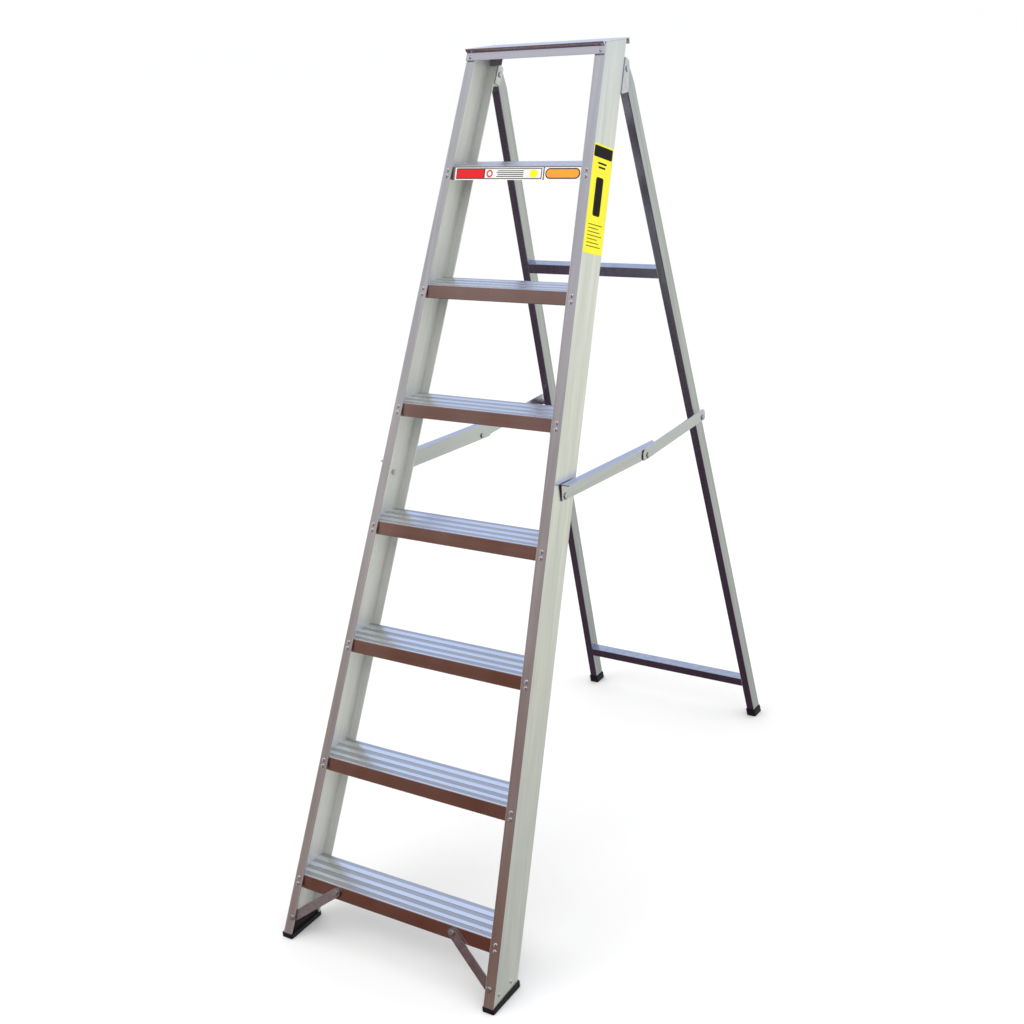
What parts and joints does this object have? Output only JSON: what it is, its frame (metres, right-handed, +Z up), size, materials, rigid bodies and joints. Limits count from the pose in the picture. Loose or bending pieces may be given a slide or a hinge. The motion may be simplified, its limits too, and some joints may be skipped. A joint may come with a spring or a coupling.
{
  "type": "swing-back stepladder",
  "caption": "Free-standing aluminium swing-back stepladder with deep ribbed treads, a top cap, folding side stays and braced rear legs.",
  "frame": {"origin": "on the floor, under the middle of the open ladder's bounding box", "axes": "+X to the user's right when facing the treads, +Y from the treads towards the rear legs, +Z up"},
  "size_m": [0.588, 1.4434, 1.8873],
  "materials": {
    "stile_aluminium": "mill-finish extrusion, satin",
    "tread_aluminium": "ribbed mill-finish extrusion, satin",
    "zinc_steel": "zinc plated, dull",
    "black_rubber": "matt moulded",
    "black_nylon": "matt moulded"
  },
  "bodies": {
    "front_frame": {"stile_right": "stile_aluminium", "stile_left": "stile_aluminium", "tread_1": "tread_aluminium", "tread_2": "tread_aluminium", "tread_3": "tread_aluminium", "tread_4": "tread_aluminium", "tread_5": "tread_aluminium", "tread_6": "tread_aluminium", "tread_7": "tread_aluminium", "top_cap": "tread_aluminium", "cap_clip_right": "zinc_steel", "front_foot_right": "black_rubber", "knee_brace_right": "zinc_steel", "knee_bolt_lower_right": "zinc_steel", "knee_bolt_upper_right": "zinc_steel", "hinge_bracket_right": "zinc_steel", "hinge_pin_right": "zinc_steel", "stay_front_rivet_right": "zinc_steel", "cap_clip_left": "zinc_steel", "front_foot_left": "black_rubber", "knee_brace_left": "zinc_steel", "knee_bolt_lower_left": "zinc_steel", "knee_bolt_upper_left": "zinc_steel", "hinge_bracket_left": "zinc_steel", "hinge_pin_left": "zinc_steel", "stay_front_rivet_left": "zinc_steel"},
    "rear_frame": {"rear_leg_right": "stile_aluminium", "rear_foot_right": "black_rubber", "hinge_spacer_right": "black_nylon", "rear_leg_left": "stile_aluminium", "rear_foot_left": "black_rubber", "hinge_spacer_left": "black_nylon", "rear_brace_lower": "stile_aluminium", "rear_brace_upper": "stile_aluminium"},
    "stay_front_right": {"stay_front_arm_right": "stile_aluminium", "stay_middle_rivet_right": "zinc_steel"},
    "stay_rear_right": {"stay_rear_arm_right": "stile_aluminium", "stay_rear_rivet_right": "zinc_steel"},
    "stay_front_left": {"stay_front_arm_left": "stile_aluminium", "stay_middle_rivet_left": "zinc_steel"},
    "stay_rear_left": {"stay_rear_arm_left": "stile_aluminium", "stay_rear_rivet_left": "zinc_steel"}
  },
  "joints": [
    {"name": "rear_frame_fold", "type": "hinge", "parent": "front_frame", "child": "rear_frame", "pos_m": [0, 0.26215, 1.821], "axis": [-1, 0, 0], "range_deg": [0, 38.9]},
    {"name": "stay_front_turn_right", "type": "hinge", "parent": "front_frame", "child": "stay_front_right", "pos_m": [0.2362, -0.20495, 0.9741], "axis": [1, 0, 0], "range_deg": [0, 59.3]},
    {"name": "stay_rear_turn_right", "type": "hinge", "parent": "stay_front_right", "child": "stay_rear_right", "pos_m": [0.2386, 0.17165, 0.949], "axis": [-1, 0, 0], "range_deg": [0, 176.4]},
    {"name": "stay_front_turn_left", "type": "hinge", "parent": "front_frame", "child": "stay_front_left", "pos_m": [-0.2362, -0.20495, 0.9741], "axis": [1, 0, 0], "range_deg": [0, 59.3]},
    {"name": "stay_rear_turn_left", "type": "hinge", "parent": "stay_front_left", "child": "stay_rear_left", "pos_m": [-0.2386, 0.17165, 0.949], "axis": [-1, 0, 0], "range_deg": [0, 176.4]}
  ],
  "couplings": [
    {"joint": "stay_front_turn_right", "follows": "rear_frame_fold", "ratio": 1.5244},
    {"joint": "stay_rear_turn_right", "follows": "rear_frame_fold", "ratio": 4.534},
    {"joint": "stay_front_turn_left", "follows": "rear_frame_fold", "ratio": 1.5244},
    {"joint": "stay_rear_turn_left", "follows": "rear_frame_fold", "ratio": 4.534}
  ]
}
